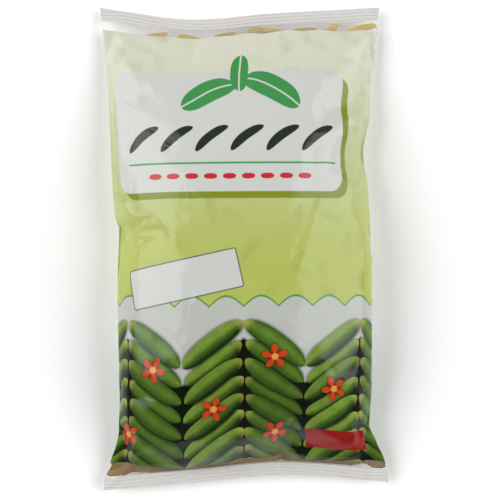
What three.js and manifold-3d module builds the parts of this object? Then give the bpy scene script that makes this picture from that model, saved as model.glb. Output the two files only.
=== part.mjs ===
// A sealed pillow bag of sliced green beans in brine, lying on its back.
// Millimetres. +X is to the bag's right, +Y towards its top seal and +Z out of its printed front.
// The origin is under the middle of the bag, on the surface that it lies on.
import * as THREE from "three";
import { mergeVertices } from "three/addons/utils/BufferGeometryUtils.js";
import Module from "manifold-3d";

const wasm = await Module();
wasm.setup();

// Driving dimensions of the film tube.
const BAG_LENGTH = 221.6; // between the two cut ends
const SEAL = 6; // height of the crimped seal across each end
const CRIMPS = 3; // ridges along each seal
const CRIMP_RELIEF = 0.3;
const FILM = 0.8; // wall, thicker than real film so that it holds as a solid
const SIDE_WALL = 1.4; // wall at the rounded sides, measured across the bag
const SEAL_TOP = BAG_LENGTH - SEAL;
const FILM_CLOSES = 2.5; // the film lies closed on itself for this far past each seal
const CLEARANCE = 0.4; // between the film, the slices and the brine

// Outlines along the bag: [height above the bottom end, value].
// How far the left and right sides reach from the bag's middle line. The filled bag draws in from its
// flat width at the seals, sharply at the bottom, with a dent in each side.
const LEFT_SIDE = [
  [0, 64.4], [4, 64.2], [15, 60.7], [28, 57], [45, 56.3], [100, 57], [117, 56.5], [126, 58.4],
  [165, 60.8], [197, 63.3], [BAG_LENGTH, 66.1],
];
const RIGHT_SIDE = [
  [0, 66.1], [6, 65.8], [17, 62], [29, 57.2], [46, 57.9], [100, 57.5], [139, 56.1], [153, 54.2],
  [170, 57.4], [186, 57.8], [197, 59.6], [BAG_LENGTH, 62.1],
];
// Height of the sides above the surface, and how far the front rises over them and the back sinks below.
const SIDE_HEIGHT = [
  [0, 6], [SEAL, 6], [30, 13], [80, 16], [140, 14], [190, 8], [SEAL_TOP, 5], [BAG_LENGTH, 5],
];
const FRONT_RISE = [
  [0, FILM], [SEAL, FILM], [12, 6], [22, 14], [38, 21.5], [66, 26.5], [100, 27.5], [140, 25],
  [172, 19], [196, 10], [208, 4], [SEAL_TOP, FILM], [BAG_LENGTH, FILM],
];
const BACK_SINK = [
  [0, FILM], [SEAL, FILM], [13, 8], [24, 15], [50, 18], [110, 18.5], [160, 14.5], [190, 9.6],
  [207, 4], [SEAL_TOP, FILM], [BAG_LENGTH, FILM],
];
// Width of the flat ear of film beside the filling.
const EAR = [[0, 6], [SEAL, 7], [20, 4.5], [34, 1], [110, 0.8], [190, 1], [210, 3], [BAG_LENGTH, 4]];
// The seals bow towards the filling: [place across the bag, -1 to 1, distance from a straight end].
const TOP_BOW = [[-1, 0], [-0.35, 5.5], [0.2, 2.8], [1, 0]];
const BOTTOM_BOW = [[-1, 0], [-0.3, 4.4], [0.28, 7.7], [1, 3.9]];

// Lap seam: the outer edge of the web lies under the inner one, a bond line apart.
const LAP_WIDTH = 16;
const BOND_GAP = 0.3;
const UNDER_BACK = -5; // safely below the back, where a cut through it starts

// Filling.
const SLICE = { length: 44, width: 10, thickness: 4.4 };
const SLICE_SPREAD = 0.25; // share by which a slice's length and width vary
const SLICE_CUT = { tip: 0.3, shoulder: 0.5, slant: 1.8 }; // of its slanted ends, in half widths
const SLICE_SINK = 0.6; // how deep its middle lies inside the film's inner face, in thicknesses
const SLICE_PITCH = { along: 23, across: 31 };
const SLICES_FROM = SEAL + 7;
const SLICES_TO = SEAL_TOP - 9;
const CORE_DEPTH = 3.4; // how far the outer slices stand out of the core
const CORE_RIM = 1;
const CORE_FROM = SLICES_FROM + 6;
const CORE_TO = SLICES_TO - 4;
const BRINE_LEVEL = 9;
const SEED = 7;

// How full the section is: exponents of the front's dome and of the flatter back.
const DOME = { across: 2.3, up: 0.6 };
const BELLY = { across: 3.2, up: 0.6 };
const COLUMN_STEPS = 14;
const ROW_PITCH = 7.5;
const CORE_COARSER = 3; // the core's rows and columns are this many times further apart

const curve = (points) => {
  const at = new THREE.CubicInterpolant(points.map((p) => p[0]), points.map((p) => p[1]), 1);
  return (place) => at.evaluate(place)[0];
};
const leftSide = curve(LEFT_SIDE);
const rightSide = curve(RIGHT_SIDE);
const sideHeight = curve(SIDE_HEIGHT);
const frontRise = curve(FRONT_RISE);
const backSink = curve(BACK_SINK);
const ear = curve(EAR);
const topBow = curve(TOP_BOW);
const bottomBow = curve(BOTTOM_BOW);

const bulge = (v, shape) => Math.max(0, 1 - Math.abs(v) ** shape.across) ** shape.up;

// Ridges of the crimped seals, in step on both faces.
function crimp(h) {
  const into = h < SEAL ? h / SEAL : (BAG_LENGTH - h) / SEAL;
  return into < 0 || into > 1 ? 0 : CRIMP_RELIEF * Math.sin(Math.PI * CRIMPS * into) ** 2;
}

// Surfaces nested in the bag: how far each lies inside the outside, how far its sides do, and half the
// thickness that it keeps where the film closes on itself.
const OUTSIDE = { inset: 0, side: 0, rim: FILM };
const CAVITY = { inset: FILM, side: SIDE_WALL, rim: FILM / 2 };
const ROOM = { inset: FILM + CLEARANCE, side: SIDE_WALL + CLEARANCE, rim: FILM / 8 };

// Heights of a surface's front and back. Height h runs along the bag, and v across the filling from -1 to
// 1 and past that over the ears.
const halfThickness = (full, layer) => Math.max(layer.rim, full - layer.inset);
function front(h, v, layer) {
  return sideHeight(h) + halfThickness(frontRise(h) * bulge(v, DOME), layer);
}
function back(h, v, layer) {
  return Math.max(layer.inset, sideHeight(h) - halfThickness(backSink(h) * bulge(v, BELLY), layer));
}

const fillHalf = (h, v) => (v < 0 ? leftSide(h) : rightSide(h)) - ear(h);

// A point's place on the surface that the bag lies on: the rows follow the bowed seals.
function plan(h, x) {
  const half = x < 0 ? leftSide(h) : rightSide(h);
  const u = THREE.MathUtils.clamp(x / half, -1, 1);
  const share = h / BAG_LENGTH;
  const bow = bottomBow(u) * (1 - share) - topBow(u) * share;
  return [x, h - BAG_LENGTH / 2 + bow];
}

// A closed body between two heights over a grid of rows and columns. place(row, column) gives x and y,
// and low and high give the two heights there.
function bodyBetween(rows, columns, place, low, high) {
  const positions = [];
  const index = [];
  for (const height of [low, high])
    for (const row of rows)
      for (const column of columns) positions.push(...place(row, column), height(row, column));
  const width = columns.length;
  const layer = rows.length * width;
  const quad = (a, b, c, d) => index.push(a, b, c, a, c, d);
  const wall = (a, b) => quad(a, b, b + layer, a + layer);
  for (let r = 0; r + 1 < rows.length; r++) {
    for (let c = 0; c + 1 < width; c++) {
      const at = r * width + c;
      quad(at, at + width, at + width + 1, at + 1);
      quad(layer + at, layer + at + 1, layer + at + width + 1, layer + at + width);
    }
    wall((r + 1) * width, r * width);
    wall(r * width + width - 1, (r + 1) * width + width - 1);
  }
  for (let c = 0; c + 1 < width; c++) {
    wall(c, c + 1);
    wall(layer - width + c + 1, layer - width + c);
  }
  return solid(
    new THREE.BufferGeometry()
      .setAttribute("position", new THREE.Float32BufferAttribute(positions, 3))
      .setIndex(index),
  );
}

function solid(geometry) {
  geometry.deleteAttribute("normal");
  geometry.deleteAttribute("uv");
  const merged = mergeVertices(geometry, 1e-4);
  return new wasm.Manifold(
    new wasm.Mesh({
      numProp: 3,
      vertProperties: merged.attributes.position.array,
      triVerts: new Uint32Array(merged.index.array),
    }),
  );
}

const steps = (from, to, count) =>
  Array.from({ length: count + 1 }, (_, i) => from + ((to - from) * i) / count);
// All bodies share one set of rows, so that none cuts a corner off another.
const ROWS = steps(SEAL, SEAL_TOP, Math.round((SEAL_TOP - SEAL) / ROW_PITCH));
const rowsBetween = (from, to) => [from, ...ROWS.filter((h) => h > from + 1 && h < to - 1), to];
// The lap seam is free between the second row and the last but one, and runs into the seals past them.
const LAP_FROM = ROWS[1];
const LAP_TO = ROWS.at(-2);
// Columns crowd towards the rounded sides.
const fillColumns = steps(-Math.PI / 2, Math.PI / 2, COLUMN_STEPS).map(Math.sin);
const thinned = (list, every) => list.filter((_, i) => i % every === 0 || i === list.length - 1);

// The body inside one of the nested surfaces, from one height to another.
function innerBody(from, to, layer, coarser = 1) {
  return bodyBetween(
    thinned(rowsBetween(from, to), coarser),
    thinned(fillColumns, coarser),
    (h, v) => plan(h, v * (fillHalf(h, v) - layer.side)),
    (h, v) => back(h, v, layer),
    (h, v) => front(h, v, layer),
  );
}

// The outside of the whole bag with its seals and ears. The first and last columns are the ears' edges.
function outerBody() {
  const sealRows = steps(0, SEAL, 2 * CRIMPS);
  const rows = [
    ...sealRows,
    ...rowsBetween(SEAL, SEAL_TOP).slice(1, -1),
    ...sealRows.map((h) => BAG_LENGTH - h).reverse(),
  ];
  const edge = 2; // past the filling, so the film lies flat
  return bodyBetween(
    rows,
    [-edge, ...fillColumns, edge],
    (h, v) => {
      const side = v < 0 ? -leftSide(h) : rightSide(h);
      return plan(h, Math.abs(v) === edge ? side : v * fillHalf(h, v));
    },
    (h, v) => back(h, v, OUTSIDE) - crimp(h),
    (h, v) => front(h, v, OUTSIDE) + crimp(h),
  );
}

// A strip that follows the outside of the back, between two heights over it.
function backStrip(fromX, toX, fromHeight, toHeight, fromH = LAP_FROM, toH = LAP_TO) {
  const under = (h, x) => back(h, x / fillHalf(h, x), OUTSIDE);
  return bodyBetween(
    rowsBetween(fromH, toH),
    steps(fromX, toX, 2),
    plan,
    (h, x) => under(h, x) + fromHeight,
    (h, x) => under(h, x) + toHeight,
  );
}

// Film: the outside less the cavity, with the web's two edges lapped down the back. The joggle lifts the
// inner edge over the outer one, so that the back stays flat.
function filmBag() {
  const half = LAP_WIDTH / 2;
  const joggle = FILM + BOND_GAP;
  const lifted = backStrip(-half - FILM, half + FILM, UNDER_BACK, joggle + FILM, 0, BAG_LENGTH);
  const cavity = innerBody(SEAL + FILM_CLOSES, SEAL_TOP - FILM_CLOSES, CAVITY).subtract(lifted);
  const groove = backStrip(-half, half, UNDER_BACK, joggle);
  const innerEdge = backStrip(-half, -half + BOND_GAP, 0, joggle + FILM + BOND_GAP);
  const outerFlap = backStrip(-half - FILM, half - BOND_GAP, 0, FILM);
  return outerBody().subtract(cavity).subtract(groove).subtract(innerEdge).add(outerFlap);
}

// A repeatable draw from 0 to 1.
function drawFrom(seed) {
  let state = seed;
  return () => {
    state = (state * 1664525 + 1013904223) % 4294967296;
    return state / 4294967296;
  };
}

// One slice, cut on the slant at both ends, lying flat with its middle at the origin.
function sliceGeometry(length, width, thickness) {
  const end = length / 2;
  const side = width / 2;
  const { tip, shoulder, slant } = SLICE_CUT;
  const halfOutline = [
    new THREE.Vector2(end - slant * side, -side),
    new THREE.Vector2(end, tip * side),
    new THREE.Vector2(end - shoulder * side, side),
  ];
  const turnedHalf = halfOutline.map((corner) => corner.clone().negate());
  const outline = new THREE.Shape([...halfOutline, ...turnedHalf]);
  return new THREE.ExtrudeGeometry(outline, { depth: thickness, bevelEnabled: false })
    .translate(0, 0, -thickness / 2);
}

// Where each outer slice lies: under the front or over the back, in staggered rows, at a drawn angle.
function slicePlaces() {
  const draw = drawFrom(SEED);
  const around = (spread) => (2 * draw() - 1) * spread;
  const places = [];
  for (const face of [front, back]) {
    let row = 0;
    for (let h = SLICES_FROM; h <= SLICES_TO; h += SLICE_PITCH.along) {
      const half = Math.min(leftSide(h), rightSide(h)) - ear(h) - SLICE.width;
      const first = -half + (row % 2) * SLICE_PITCH.across / 2;
      for (let x = first; x <= half; x += SLICE_PITCH.across)
        places.push({
          face,
          h: h + around(SLICE_PITCH.along / 3),
          x: x + around(SLICE_PITCH.across / 4),
          turn: around(Math.PI / 2),
          length: SLICE.length * (1 + around(SLICE_SPREAD)),
          width: SLICE.width * (1 + around(SLICE_SPREAD)),
        });
      row += 1;
    }
  }
  return places;
}

// The middle and directions of a slice that lies along the film's inner face.
function slicePose({ face, h, x, turn }) {
  const at = (hh, xx) => new THREE.Vector3(...plan(hh, xx), face(hh, xx / fillHalf(hh, xx), ROOM));
  const reach = SLICE.width / 2;
  const point = at(h, x);
  const across = at(h, x + reach).sub(at(h, x - reach));
  const along = at(h + reach, x).sub(at(h - reach, x));
  const up = across.cross(along).normalize();
  const inward = face === front ? -1 : 1;
  point.addScaledVector(up, inward * SLICE_SINK * SLICE.thickness);
  const side = new THREE.Vector3(-Math.sin(turn), Math.cos(turn), 0);
  const lengthwise = side.clone().cross(up).normalize();
  return new THREE.Matrix4()
    .makeBasis(lengthwise, up.clone().cross(lengthwise), up)
    .setPosition(point);
}

// The slices fused to a core, grown by a margin: no margin for the slices, the clearance for their room.
function beanMass(places, margin) {
  const depth = CORE_DEPTH - margin;
  const layer = { inset: ROOM.inset + depth, side: ROOM.side + depth, rim: CORE_RIM + margin };
  const slices = places.map((place) =>
    solid(
      sliceGeometry(place.length + 2 * margin, place.width + 2 * margin, SLICE.thickness + 2 * margin)
        .applyMatrix4(slicePose(place)),
    ),
  );
  const core = innerBody(CORE_FROM - margin, CORE_TO + margin, layer, CORE_COARSER);
  return slices.reduce((sum, slice) => sum.add(slice), core);
}

const largest = (body) => body.decompose().sort((a, b) => b.volume() - a.volume())[0];

function brineBody(room, beans) {
  const bag = 2 * BAG_LENGTH;
  const above = solid(new THREE.BoxGeometry(bag, bag, bag).translate(0, 0, BRINE_LEVEL + bag / 2));
  return largest(room.subtract(above).subtract(beans));
}

function node(name, body, material) {
  const { numProp, vertProperties, triVerts } = body.getMesh();
  const positions = new THREE.InterleavedBuffer(vertProperties, numProp);
  const geometry = new THREE.BufferGeometry()
    .setAttribute("position", new THREE.InterleavedBufferAttribute(positions, 3, 0))
    .setIndex(new THREE.BufferAttribute(triVerts, 1));
  const mesh = new THREE.Mesh(geometry, material);
  mesh.name = name;
  return mesh;
}

const printedFilm = new THREE.MeshStandardMaterial({ color: "#b9c65f", roughness: 0.35, metalness: 0 });
const beanGreen = new THREE.MeshStandardMaterial({ color: "#8f9440", roughness: 0.55, metalness: 0 });
const brineOlive = new THREE.MeshStandardMaterial({
  color: "#8c7b35",
  roughness: 0.1,
  metalness: 0,
  transparent: true,
  opacity: 0.6,
});

// Room for the filling, clear of the film and of the lap seam.
const roomEnd = SEAL + FILM_CLOSES + 2 * CLEARANCE;
const seamHeight = 2 * FILM + BOND_GAP + CLEARANCE;
const room = innerBody(roomEnd, BAG_LENGTH - roomEnd, ROOM)
  .subtract(backStrip(-LAP_WIDTH, LAP_WIDTH, UNDER_BACK, seamHeight, 0, BAG_LENGTH));
const places = slicePlaces();

const bag = new THREE.Group();
bag.add(
  node("film_bag", filmBag(), printedFilm),
  node("bean_slices", largest(beanMass(places, 0).intersect(room)), beanGreen),
  node("brine", brineBody(room, beanMass(places, CLEARANCE)), brineOlive),
);

export default bag;
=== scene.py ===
"""Dresses a sealed pillow bag of sliced green beans in brine, which lies on its back.

The file is laid out as an add-on: settings, one operator for each piece and one for the stage, and a panel.
The frame is in metres. +X is to the bag's right, +Y towards its top seal and +Z out of its printed front.
Outlines and places on the print are in millimetres, as such a bag is drawn.
"""

import math

import bpy
import numpy as np
from mathutils import Matrix, Vector
from mathutils.bvhtree import BVHTree


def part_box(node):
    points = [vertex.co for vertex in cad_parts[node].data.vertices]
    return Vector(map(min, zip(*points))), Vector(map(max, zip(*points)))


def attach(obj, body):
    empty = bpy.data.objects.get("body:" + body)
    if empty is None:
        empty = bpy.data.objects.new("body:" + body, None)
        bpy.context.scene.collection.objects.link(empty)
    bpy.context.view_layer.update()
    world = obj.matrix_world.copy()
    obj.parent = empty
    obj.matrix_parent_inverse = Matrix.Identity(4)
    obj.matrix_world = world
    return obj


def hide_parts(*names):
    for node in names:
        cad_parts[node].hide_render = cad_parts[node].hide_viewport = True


bl_info = {
    "name": "Pillow Bag of Sliced Beans",
    "version": (1, 0, 0),
    "blender": (4, 5, 0),
    "location": "View3D > Sidebar > Pillow Bag",
    "description": "Builds the film, the filling and the stage of a sealed pillow bag",
    "category": "Object",
}

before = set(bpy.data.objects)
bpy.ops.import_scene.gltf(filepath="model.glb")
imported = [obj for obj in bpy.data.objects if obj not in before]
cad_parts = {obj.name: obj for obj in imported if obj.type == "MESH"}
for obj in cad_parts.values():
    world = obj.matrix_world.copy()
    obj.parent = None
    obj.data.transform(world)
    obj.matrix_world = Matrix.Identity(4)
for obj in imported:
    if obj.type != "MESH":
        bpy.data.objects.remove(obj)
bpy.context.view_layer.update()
FILM_LOW, FILM_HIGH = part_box("film_bag")
BRINE_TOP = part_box("brine")[1].z

MM = 0.001
BODY = "root"
BAG_LENGTH = (FILM_HIGH.y - FILM_LOW.y) / MM
SEAL = 6.0
SEAL_TOP = BAG_LENGTH - SEAL
WEB_GAP = 0.15  # half the space between the two webs in the seals
SWELL = 0.88  # share of its full rise that the front starts from, because the cloth run swells it

# Outlines along the bag: (height above the bottom end, value).
LEFT_SIDE = (
    (0, 64.4), (4, 64.2), (15, 60.7), (28, 57), (45, 56.3), (100, 57), (117, 56.5), (126, 58.4),
    (165, 60.8), (197, 63.3), (BAG_LENGTH, 66.1),
)
RIGHT_SIDE = (
    (0, 66.1), (6, 65.8), (17, 62), (29, 57.2), (46, 57.9), (100, 57.5), (139, 56.1), (153, 54.2),
    (170, 57.4), (186, 57.8), (197, 59.6), (BAG_LENGTH, 62.1),
)
SIDE_HEIGHT = (
    (0, 6), (SEAL, 6), (30, 13), (80, 16), (140, 14), (190, 8), (SEAL_TOP, 5), (BAG_LENGTH, 5),
)
FRONT_RISE = (
    (0, WEB_GAP), (SEAL, WEB_GAP), (12, 6), (22, 14), (38, 21.5), (66, 26.5), (100, 27.5), (140, 25),
    (172, 19), (196, 10), (208, 4), (SEAL_TOP, WEB_GAP), (BAG_LENGTH, WEB_GAP),
)
BACK_SINK = (
    (0, WEB_GAP), (SEAL, WEB_GAP), (13, 8), (24, 15), (50, 18), (110, 18.5), (160, 14.5), (190, 9.6),
    (207, 4), (SEAL_TOP, WEB_GAP), (BAG_LENGTH, WEB_GAP),
)
# Half the space between the webs where the corners are pressed flat.
FLAT_GAP = (
    (0, WEB_GAP), (SEAL, WEB_GAP), (SEAL + 2.5, 0.6), (SEAL_TOP - 2.5, 0.6), (SEAL_TOP, WEB_GAP),
    (BAG_LENGTH, WEB_GAP),
)
EAR = ((0, 6), (SEAL, 7), (20, 4.5), (34, 1), (110, 0.8), (190, 1), (210, 3), (BAG_LENGTH, 4))
# The seals bow towards the filling: (place across the bag, distance from a straight end).
TOP_BOW = ((-1, 0), (-0.35, 5.5), (0.2, 2.8), (1, 0))
BOTTOM_BOW = ((-1, 0), (-0.3, 4.4), (0.28, 7.7), (1, 3.9))
# Fullness of the section: exponents of the front's dome and of the flatter back.
DOME = (2.3, 0.6)
BELLY = (3.2, 0.6)
BACK_LIFT = 0.35  # room under the back for the lapped edge of the web
LAP_EDGE = 8.0
SECTION_STEPS = 801
OUTLINE_STEP = 2.5
# How fast the print straightens away from each bowed seal.
BOTTOM_BOW_POWER = 4
TOP_BOW_POWER = 9

# Folds pressed into the front: (start, end, depth, width), where a negative depth is a ridge.
FOLDS = (
    ((19.5, -104), (17.5, -84), 1.5, 2.2),
    ((23.5, -103), (26, -90), -0.9, 1.8),
    ((-57, -81), (-49, -88), 1.9, 2.2),
    ((-49, -88), (-53, -101), -1.9, 1.7),
    ((-53, -101), (-63, -109), -0.9, 1.5),
    ((34, 21), (25, -7), -0.7, 1.6),
    ((46, 12), (44, -10), 0.8, 2.2),
    ((-38, 16), (-27, -1), -0.5, 1.6),
    ((54, 43), (43, 37), 1.4, 3.0),
    ((54, 46), (46, 58), 0.9, 2.4),
    ((56, 92), (51, 60), 2.0, 2.6),
    ((-56, 9), (-40, 14), 1.0, 2.4),
    ((-20, 103), (-14, 88), 0.7, 2.0),
    ((8, 105), (12, 92), 0.6, 2.0),
)

WEB_MAP = "OFBake"  # the map of the unrolled web
WEB_WIDTH = 290.0  # width that the map's unit square stands for


def srgb(red, green, blue):
    """A colour given as on a colour card, 0 to 255, as the linear colour that shaders take."""
    channels = np.array((red, green, blue)) / 255
    linear = np.where(channels > 0.04045, ((channels + 0.055) / 1.055) ** 2.4, channels / 12.92)
    return (*linear.tolist(), 1.0)


# Settings.


def colour_setting(name, description, red, green, blue):
    return bpy.props.FloatVectorProperty(
        name=name, description=description, subtype="COLOR", size=4, min=0, max=1,
        default=srgb(red, green, blue),
    )


def length_setting(name, description, millimetres):
    return bpy.props.FloatProperty(
        name=name, description=description, subtype="DISTANCE", unit="LENGTH", default=millimetres * MM
    )


def count_setting(name, description, count):
    return bpy.props.IntProperty(name=name, description=description, min=1, default=count)


def share_setting(name, description, share):
    return bpy.props.FloatProperty(name=name, description=description, subtype="FACTOR", default=share)


def number_setting(name, description, number):
    return bpy.props.FloatProperty(name=name, description=description, min=0, default=number)


class FilmSettings(bpy.types.PropertyGroup):
    """Sizes of the film's mesh and of the cloth run that wrinkles it."""

    columns: count_setting("Columns", "Faces across one side of the bag", 64)
    rows: count_setting("Rows", "Faces along the filled part", 96)
    seal_rows: count_setting("Seal rows", "Faces along each seal", 16)
    crimps: count_setting("Crimps", "Ridges along each seal", 4)
    crimp_relief: length_setting("Crimp relief", "Height of a seal's ridges", 0.13)
    seal_wave: length_setting("Seal wave", "Height of the slow waves along a seal", 0.7)
    slack: share_setting("Slack", "Spare film in the middle of the front", 0.02)
    end_slack: share_setting("End slack", "Spare film beside the seals and the sides", 0.14)
    pressure: number_setting("Pressure", "Push of the filling", 1.5)
    frames: count_setting("Frames", "Length of the cloth run", 30)
    most_move: length_setting("Most move", "Furthest that the run may carry a point", 6.0)
    lumps: length_setting("Lumps", "Height of the filling's lumps under the film", 1.1)
    lump_size: length_setting("Lump size", "Width of the filling's lumps", 13.0)


class PrintSettings(bpy.types.PropertyGroup):
    """Colours of the printed web."""

    field_top: colour_setting("Field, top", "Pale end of the field", 202, 203, 184)
    field_middle: colour_setting("Field, middle", "Field beside the panel", 184, 188, 146)
    field: colour_setting("Field", "Full colour of the field", 170, 180, 90)
    panel: colour_setting("Panel", "Bare label panel", 194, 196, 191)
    panel_shade: colour_setting("Panel shade", "Edge under the panel", 122, 135, 40)
    rule: colour_setting("Rule", "Line in the panel", 70, 146, 88)
    ornament: colour_setting("Ornament", "Row of pods in the panel", 40, 46, 38)
    ornament_red: colour_setting("Red ornament", "Row of lozenges in the panel", 186, 44, 50)
    leaf: colour_setting("Leaf", "Sprig over the panel", 62, 138, 74)
    band: colour_setting("Band", "Pale band over the pods", 178, 181, 174)
    band_line: colour_setting("Band line", "Edge of the band", 84, 140, 76)
    tag: colour_setting("Tag", "Bare tag", 193, 195, 190)
    tag_line: colour_setting("Tag line", "Edge of the tag", 92, 96, 86)
    flag: colour_setting("Flag", "Bare flag at the bottom", 148, 14, 16)
    gap: colour_setting("Gap", "Depth between the pods", 13, 19, 8)
    pod_dark: colour_setting("Pod, dark", "Shaded side of a pod", 26, 44, 13)
    pod: colour_setting("Pod", "Pod", 62, 92, 27)
    pod_light: colour_setting("Pod, light", "Lit side of a pod", 117, 145, 54)
    pod_tip: colour_setting("Pod tip", "Pale tip of a pod", 150, 152, 70)
    blossom_dark: colour_setting("Blossom, dark", "Folds between the petals", 124, 34, 14)
    blossom: colour_setting("Blossom", "Petals of a blossom", 186, 66, 28)
    blossom_light: colour_setting("Blossom eye", "Middle of a blossom", 214, 150, 74)
    clear: colour_setting("Clear film", "Film with no ink on it", 216, 213, 209)
    table: colour_setting("Table", "Lines on the back", 96, 104, 92)


class FillingSettings(bpy.types.PropertyGroup):
    """Sizes and colours of the slices and the brine."""

    slice_length: length_setting("Slice length", "Length of a slice over its slanted cuts", 38)
    slice_width: length_setting("Slice width", "Width of a slice", 10)
    slice_thickness: length_setting("Slice thickness", "Thickness of a slice", 4.4)
    pitch_along: length_setting("Pitch along", "Distance between rows of slices", 12.5)
    pitch_across: length_setting("Pitch across", "Distance between slices in a row", 21)
    skin: colour_setting("Skin", "Skin of a bean", 206, 176, 98)
    skin_green: colour_setting("Green skin", "Greener parts of the skin", 172, 146, 62)
    flesh: colour_setting("Flesh", "Cut face of a bean", 214, 192, 120)
    brine: colour_setting("Brine", "Brine", 136, 108, 40)
    brine_deep: colour_setting("Deep brine", "Brine where it is deeper", 98, 72, 18)


class StageSettings(bpy.types.PropertyGroup):
    """Floor, light and camera."""

    floor: colour_setting("Floor", "Pale floor", 255, 255, 255)
    lens: number_setting("Lens", "Focal length in millimetres", 135)
    view_width: length_setting("View width", "Width of the picture at the bag's sides", 228)
    centre_x: length_setting("Centre X", "Middle of the picture across the bag", 2.8)
    centre_y: length_setting("Centre Y", "Middle of the picture along the bag", -0.5)
    sides_height: length_setting("Sides' height", "Height of the bag's sides over the floor", 10)
    horizon: number_setting("Horizon", "Light from the sides of the room", 0.2)
    zenith: number_setting("Zenith", "Light from the ceiling", 0.06)
    key: number_setting("Key", "Strength of the main softbox", 2.9)
    fill: number_setting("Fill", "Strength of the second softbox", 2.6)


# Outlines and meshes.


def outline(points):
    """A smooth curve through the points that never swings past them."""
    at, value = np.array(points, float).T
    span = np.diff(at)
    slope = np.diff(value) / span
    tangent = np.concatenate(([slope[0]], np.zeros(len(at) - 2), [slope[-1]]))
    for i in range(1, len(at) - 1):
        if slope[i - 1] * slope[i] > 0:
            before = 2 * span[i] + span[i - 1]
            after = span[i] + 2 * span[i - 1]
            tangent[i] = (before + after) / (before / slope[i - 1] + after / slope[i])

    def curve(place):
        place = np.clip(np.asarray(place, float), at[0], at[-1])
        i = np.clip(np.searchsorted(at, place) - 1, 0, len(span) - 1)
        t = (place - at[i]) / span[i]
        return (
            value[i] * (2 * t**3 - 3 * t**2 + 1)
            + value[i + 1] * (3 * t**2 - 2 * t**3)
            + span[i] * (tangent[i] * (t**3 - 2 * t**2 + t) + tangent[i + 1] * (t**3 - t**2))
        )

    return curve


left_side = outline(LEFT_SIDE)
right_side = outline(RIGHT_SIDE)
side_height = outline(SIDE_HEIGHT)
front_rise = outline(FRONT_RISE)
back_sink = outline(BACK_SINK)
ear = outline(EAR)
flat_gap = outline(FLAT_GAP)
top_bow = outline(TOP_BOW)
bottom_bow = outline(BOTTOM_BOW)


def bulge(place, shape):
    return np.maximum(0, 1 - np.abs(place) ** shape[0]) ** shape[1]


def reach_of(h, x):
    return np.where(x < 0, left_side(h), right_side(h))


def surface_height(h, x, face, inset=0.0):
    """Height of the front or the back over the floor, or of a surface nested inside it."""
    filled = x / (reach_of(h, x) - ear(h))
    if face == "front":
        full = np.maximum(flat_gap(h), front_rise(h) * bulge(filled, DOME))
        return side_height(h) + np.maximum(WEB_GAP / 3, full - inset)
    full = np.maximum(flat_gap(h), back_sink(h) * bulge(filled, BELLY))
    return np.maximum(BACK_LIFT + inset, side_height(h) - np.maximum(WEB_GAP / 3, full - inset))


def bows_at(h, x):
    across = np.clip(x / reach_of(h, x), -1, 1)
    return bottom_bow(across), top_bow(across), h / BAG_LENGTH


def plan_y(h, x):
    """Place along the bag of a point at height h on the web: the rows follow the bowed seals."""
    bottom, top, share = bows_at(h, x)
    return h - BAG_LENGTH / 2 + bottom * (1 - share) - top * share


def web_height(y, x):
    """Height on the web of a point seen at a place along the bag: plan_y turned round."""
    bottom, top, _ = bows_at(y + BAG_LENGTH / 2, x)
    return (y + BAG_LENGTH / 2 - bottom) / (1 - (bottom + top) / BAG_LENGTH)


def print_height(h, x):
    """Height on the print of a point: its lines bow only close to the seals."""
    bottom, top, share = bows_at(h, x)
    straight = plan_y(h, x) + BAG_LENGTH / 2
    return straight - bottom * (1 - share) ** BOTTOM_BOW_POWER + top * share**TOP_BOW_POWER


def section(h, face, columns, inset=0.0):
    """One face of the bag cut across at height h: x and z of evenly spaced points, and their distances
    along the section from the middle line."""
    share = np.linspace(-1, 1, SECTION_STEPS)
    share = np.sign(share) * (1 - (1 - np.abs(share)) ** 2)
    x = share * (np.where(share < 0, left_side(h), right_side(h)) - inset)
    z = surface_height(h, x, face, inset)
    z[0] = z[-1] = side_height(h)
    length = np.concatenate(([0], np.cumsum(np.hypot(np.diff(x), np.diff(z)))))
    even = np.linspace(0, length[-1], columns + 1)
    return np.interp(even, length, x), np.interp(even, length, z), even - np.interp(0, x, length)


def vertex_places(piece):
    places = np.empty(len(piece.data.vertices) * 3, np.float32)
    piece.data.vertices.foreach_get("co", places)
    return places.reshape(-1, 3).astype(float)


def set_places(piece, places):
    piece.data.vertices.foreach_set("co", places.astype(np.float32).ravel())
    piece.data.update()


def only(piece):
    """Selects one piece and makes it active."""
    bpy.ops.object.select_all(action="DESELECT")
    piece.select_set(True)
    bpy.context.view_layer.objects.active = piece
    return piece


def in_edit_mode(piece, *steps):
    """Runs operators on the whole of a piece in edit mode."""
    only(piece)
    bpy.ops.object.mode_set(mode="EDIT")
    bpy.ops.mesh.select_all(action="SELECT")
    for step, settings in steps:
        step(**settings)
    bpy.ops.object.mode_set(mode="OBJECT")


def apply_modifier(piece, name, kind, **settings):
    only(piece)
    modifier = piece.modifiers.new(name, kind)
    for setting, value in settings.items():
        setattr(modifier, setting, value)
    bpy.ops.object.modifier_apply(modifier=name)


def join(pieces, name):
    bpy.ops.object.select_all(action="DESELECT")
    for piece in pieces:
        piece.select_set(True)
    bpy.context.view_layer.objects.active = pieces[0]
    bpy.ops.object.join()
    pieces[0].name = pieces[0].data.name = name
    return pieces[0]


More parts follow.
